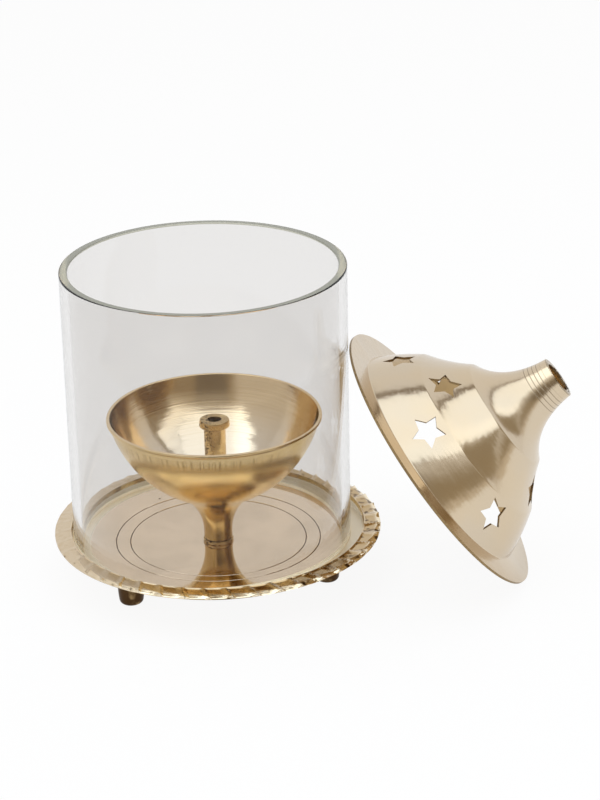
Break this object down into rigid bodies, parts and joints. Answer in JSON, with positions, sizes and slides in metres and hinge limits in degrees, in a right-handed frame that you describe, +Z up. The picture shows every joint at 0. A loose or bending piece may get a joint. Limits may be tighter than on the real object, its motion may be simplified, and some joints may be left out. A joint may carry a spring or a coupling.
{
  "type": "oil lamp",
  "caption": "Brass oil lamp for a flame that never goes out: fluted dish on feet, cup with wick tube, loose glass chimney, and a pierced conical lid leaning against the glass.",
  "frame": {"origin": "on the table, under the middle of the dish", "axes": "+Z up along the wick tube, +X towards the lid that leans on the glass"},
  "size_m": [0.1846, 0.1176, 0.1157],
  "materials": {
    "lid_brass": "spun sheet brass, polished, pale",
    "dish_brass": "cast brass, floor polished to a mirror, fluted rim",
    "cup_brass": "turned brass, satin inside with fine turning rings",
    "tube_brass": "turned brass, dull, a little tarnished",
    "foot_brass": "turned brass, dark and dull",
    "glass": "clear tube glass, ground rims"
  },
  "bodies": {
    "base": {"base_plate": "dish_brass", "foot_1": "foot_brass", "foot_2": "foot_brass", "foot_3": "foot_brass", "cup": "cup_brass", "stem_washer": "tube_brass", "cup_bolt": "foot_brass", "bolt_washer": "foot_brass"},
    "wick": {"wick_tube": "tube_brass"},
    "glass": {"glass_chimney": "glass"},
    "lid": {"lid": "lid_brass"}
  },
  "joints": [
    {"name": "glass_lift", "type": "slide", "parent": "base", "child": "glass", "axis": [0, 0, 1], "range_m": [0, 0.12]},
    {"name": "lid_lift", "type": "slide", "parent": "base", "child": "lid", "axis": [0, 0, 1], "range_m": [0, 0.125]},
    {"name": "wick_lift", "type": "slide", "parent": "base", "child": "wick", "axis": [0, 0, 1], "range_m": [0, 0.09]}
  ]
}
